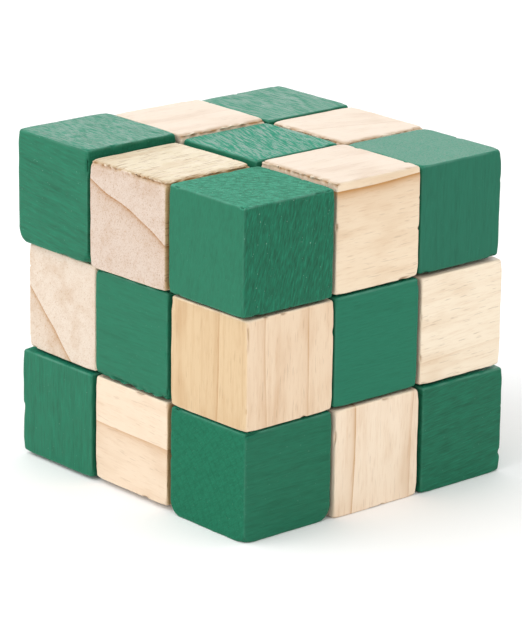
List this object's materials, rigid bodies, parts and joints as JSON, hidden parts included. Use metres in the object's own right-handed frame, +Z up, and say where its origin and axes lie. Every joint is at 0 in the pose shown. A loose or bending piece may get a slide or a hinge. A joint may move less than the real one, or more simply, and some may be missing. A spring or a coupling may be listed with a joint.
{
  "type": "twisty snake puzzle",
  "caption": "Wooden snake cube: green and natural cubelets threaded on one elastic cord and folded into a cube; the links pull apart, the layers turn and the bars fold open.",
  "frame": {"origin": "on the table under the middle of the cube, at the centre of the bottom-middle cubelet's underside", "axes": "+Z up; the cube's faces look along X and Y; the front-left face looks along -Y and the front-right face along +X"},
  "size_m": [0.0625, 0.0622, 0.0613],
  "materials": {
    "green_wood": "thin matt green stain with the grain showing",
    "natural_wood": "bare sanded light wood",
    "elastic": "black braided elastic",
    "plug_wood": "bare turned dowel"
  },
  "bodies": {
    "cubelet_01": {"cubelet_01": "green_wood", "cord_knot_01": "elastic", "end_plug_01": "plug_wood", "cord_01_02": "elastic"},
    "cubelet_02": {"cubelet_02": "natural_wood", "cord_02_03": "elastic"},
    "cubelet_03": {"cubelet_03": "green_wood", "cord_03_04": "elastic"},
    "cubelet_04": {"cubelet_04": "natural_wood", "cord_04_05": "elastic"},
    "cubelet_05": {"cubelet_05": "green_wood"},
    "cubelet_06": {"cubelet_06": "natural_wood", "cord_05_06": "elastic"},
    "cubelet_07": {"cubelet_07": "green_wood", "cord_06_07": "elastic"},
    "cubelet_08": {"cubelet_08": "natural_wood", "cord_07_08": "elastic"},
    "cubelet_09": {"cubelet_09": "green_wood", "cord_08_09": "elastic"},
    "cubelet_10": {"cubelet_10": "natural_wood"},
    "cubelet_11": {"cubelet_11": "green_wood", "cord_10_11": "elastic"},
    "cubelet_12": {"cubelet_12": "natural_wood", "cord_11_12": "elastic"},
    "cubelet_13": {"cubelet_13": "green_wood"},
    "cubelet_14": {"cubelet_14": "natural_wood", "cord_13_14": "elastic"},
    "cubelet_15": {"cubelet_15": "green_wood", "cord_14_15": "elastic"},
    "cubelet_16": {"cubelet_16": "natural_wood"},
    "cubelet_17": {"cubelet_17": "green_wood", "cord_16_17": "elastic"},
    "cubelet_18": {"cubelet_18": "natural_wood", "cord_17_18": "elastic"},
    "cubelet_19": {"cubelet_19": "green_wood"},
    "cubelet_20": {"cubelet_20": "natural_wood", "cord_19_20": "elastic"},
    "cubelet_21": {"cubelet_21": "green_wood", "cord_20_21": "elastic"},
    "cubelet_22": {"cubelet_22": "natural_wood"},
    "cubelet_23": {"cubelet_23": "green_wood", "cord_22_23": "elastic"},
    "cubelet_24": {"cubelet_24": "natural_wood", "cord_23_24": "elastic"},
    "cubelet_25": {"cubelet_25": "green_wood"},
    "cubelet_26": {"cubelet_26": "natural_wood", "cord_25_26": "elastic"},
    "cubelet_27": {"cubelet_27": "green_wood", "cord_knot_27": "elastic", "end_plug_27": "plug_wood", "cord_26_27": "elastic"},
    "cord_09_10": {"cord_09_10": "elastic"},
    "cord_12_13": {"cord_12_13": "elastic"},
    "cord_15_16": {"cord_15_16": "elastic"},
    "cord_18_19": {"cord_18_19": "elastic"},
    "cord_21_22": {"cord_21_22": "elastic"},
    "cord_24_25": {"cord_24_25": "elastic"}
  },
  "joints": [
    {"name": "pull_01_02", "type": "slide", "parent": "cubelet_02", "child": "cubelet_01", "axis": [-1, 0, 0], "range_m": [0, 0.008], "stiffness_N_per_m": 50, "springref_m": -0.03},
    {"name": "pull_02_03", "type": "slide", "parent": "cubelet_03", "child": "cubelet_02", "axis": [-1, 0, 0], "range_m": [0, 0.008], "stiffness_N_per_m": 50, "springref_m": -0.03},
    {"name": "pull_03_04", "type": "slide", "parent": "cubelet_04", "child": "cubelet_03", "axis": [0, -1, 0], "range_m": [0, 0.008], "stiffness_N_per_m": 50, "springref_m": -0.03},
    {"name": "pull_04_05", "type": "slide", "parent": "cubelet_05", "child": "cubelet_04", "axis": [1, 0, 0], "range_m": [0, 0.008], "stiffness_N_per_m": 50, "springref_m": -0.03},
    {"name": "pull_05_06", "type": "slide", "parent": "cubelet_05", "child": "cubelet_06", "axis": [-1, 0, 0], "range_m": [0, 0.008], "stiffness_N_per_m": 50, "springref_m": -0.03},
    {"name": "pull_06_07", "type": "slide", "parent": "cubelet_06", "child": "cubelet_07", "axis": [0, 1, 0], "range_m": [0, 0.008], "stiffness_N_per_m": 50, "springref_m": -0.03},
    {"name": "pull_07_08", "type": "slide", "parent": "cubelet_07", "child": "cubelet_08", "axis": [1, 0, 0], "range_m": [0, 0.008], "stiffness_N_per_m": 50, "springref_m": -0.03},
    {"name": "pull_08_09", "type": "slide", "parent": "cubelet_08", "child": "cubelet_09", "axis": [1, 0, 0], "range_m": [0, 0.008], "stiffness_N_per_m": 50, "springref_m": -0.03},
    {"name": "pull_09_10", "type": "slide", "parent": "cubelet_09", "child": "cord_09_10", "axis": [0, 0, 1], "range_m": [0, 0.01178]},
    {"name": "twist_09_10", "type": "hinge", "parent": "cord_09_10", "child": "cubelet_10", "pos_m": [0.0203, 0.0203, 0.00995], "axis": [0, 0, 1], "continuous": true},
    {"name": "pull_10_11", "type": "slide", "parent": "cubelet_10", "child": "cubelet_11", "axis": [-1, 0, 0], "range_m": [0, 0.008], "stiffness_N_per_m": 50, "springref_m": -0.03},
    {"name": "pull_11_12", "type": "slide", "parent": "cubelet_11", "child": "cubelet_12", "axis": [-1, 0, 0], "range_m": [0, 0.008], "stiffness_N_per_m": 50, "springref_m": -0.03},
    {"name": "pull_12_13", "type": "slide", "parent": "cubelet_12", "child": "cord_12_13", "axis": [0, -1, 0], "range_m": [0, 0.008], "stiffness_N_per_m": 50, "springref_m": -0.03},
    {"name": "twist_12_13", "type": "hinge", "parent": "cord_12_13", "child": "cubelet_13", "pos_m": [-0.0203, 0.0203, 0.03025], "axis": [0, -1, 0], "range_deg": [0, 90]},
    {"name": "pull_13_14", "type": "slide", "parent": "cubelet_13", "child": "cubelet_14", "axis": [1, 0, 0], "range_m": [0, 0.008], "stiffness_N_per_m": 50, "springref_m": -0.03},
    {"name": "pull_14_15", "type": "slide", "parent": "cubelet_14", "child": "cubelet_15", "axis": [1, 0, 0], "range_m": [0, 0.008], "stiffness_N_per_m": 50, "springref_m": -0.03},
    {"name": "pull_15_16", "type": "slide", "parent": "cubelet_15", "child": "cord_15_16", "axis": [0, -1, 0], "range_m": [0, 0.008], "stiffness_N_per_m": 50, "springref_m": -0.03},
    {"name": "twist_15_16", "type": "hinge", "parent": "cord_15_16", "child": "cubelet_16", "pos_m": [0.0203, 0, 0.03025], "axis": [0, 1, 0], "range_deg": [0, 90]},
    {"name": "pull_16_17", "type": "slide", "parent": "cubelet_16", "child": "cubelet_17", "axis": [-1, 0, 0], "range_m": [0, 0.008], "stiffness_N_per_m": 50, "springref_m": -0.03},
    {"name": "pull_17_18", "type": "slide", "parent": "cubelet_17", "child": "cubelet_18", "axis": [-1, 0, 0], "range_m": [0, 0.008], "stiffness_N_per_m": 50, "springref_m": -0.03},
    {"name": "pull_18_19", "type": "slide", "parent": "cubelet_18", "child": "cord_18_19", "axis": [0, 0, 1], "range_m": [0, 0.008], "stiffness_N_per_m": 50, "springref_m": -0.03},
    {"name": "twist_18_19", "type": "hinge", "parent": "cord_18_19", "child": "cubelet_19", "pos_m": [-0.0203, -0.0203, 0.03025], "axis": [0, 0, 1], "continuous": true},
    {"name": "pull_19_20", "type": "slide", "parent": "cubelet_19", "child": "cubelet_20", "axis": [0, 1, 0], "range_m": [0, 0.008], "stiffness_N_per_m": 50, "springref_m": -0.03},
    {"name": "pull_20_21", "type": "slide", "parent": "cubelet_20", "child": "cubelet_21", "axis": [0, 1, 0], "range_m": [0, 0.008], "stiffness_N_per_m": 50, "springref_m": -0.03},
    {"name": "pull_21_22", "type": "slide", "parent": "cubelet_21", "child": "cord_21_22", "axis": [1, 0, 0], "range_m": [0, 0.008], "stiffness_N_per_m": 50, "springref_m": -0.03},
    {"name": "twist_21_22", "type": "hinge", "parent": "cord_21_22", "child": "cubelet_22", "pos_m": [-0.0203, 0.0203, 0.05055], "axis": [-1, 0, 0], "range_deg": [0, 90]},
    {"name": "pull_22_23", "type": "slide", "parent": "cubelet_22", "child": "cubelet_23", "axis": [0, -1, 0], "range_m": [0, 0.008], "stiffness_N_per_m": 50, "springref_m": -0.03},
    {"name": "pull_23_24", "type": "slide", "parent": "cubelet_23", "child": "cubelet_24", "axis": [0, -1, 0], "range_m": [0, 0.008], "stiffness_N_per_m": 50, "springref_m": -0.03},
    {"name": "pull_24_25", "type": "slide", "parent": "cubelet_24", "child": "cord_24_25", "axis": [1, 0, 0], "range_m": [0, 0.008], "stiffness_N_per_m": 50, "springref_m": -0.03},
    {"name": "twist_24_25", "type": "hinge", "parent": "cord_24_25", "child": "cubelet_25", "pos_m": [0, -0.0203, 0.05055], "axis": [1, 0, 0], "range_deg": [0, 90]},
    {"name": "pull_25_26", "type": "slide", "parent": "cubelet_25", "child": "cubelet_26", "axis": [0, 1, 0], "range_m": [0, 0.008], "stiffness_N_per_m": 50, "springref_m": -0.03},
    {"name": "pull_26_27", "type": "slide", "parent": "cubelet_26", "child": "cubelet_27", "axis": [0, 1, 0], "range_m": [0, 0.008], "stiffness_N_per_m": 50, "springref_m": -0.03}
  ],
  "couplings": [
    {"joint": "twist_12_13", "follows": "pull_09_10", "rad_per_m": 133.33},
    {"joint": "twist_15_16", "follows": "pull_09_10", "rad_per_m": 133.33},
    {"joint": "twist_21_22", "follows": "pull_09_10", "rad_per_m": 133.33},
    {"joint": "twist_24_25", "follows": "pull_09_10", "rad_per_m": 133.33}
  ]
}
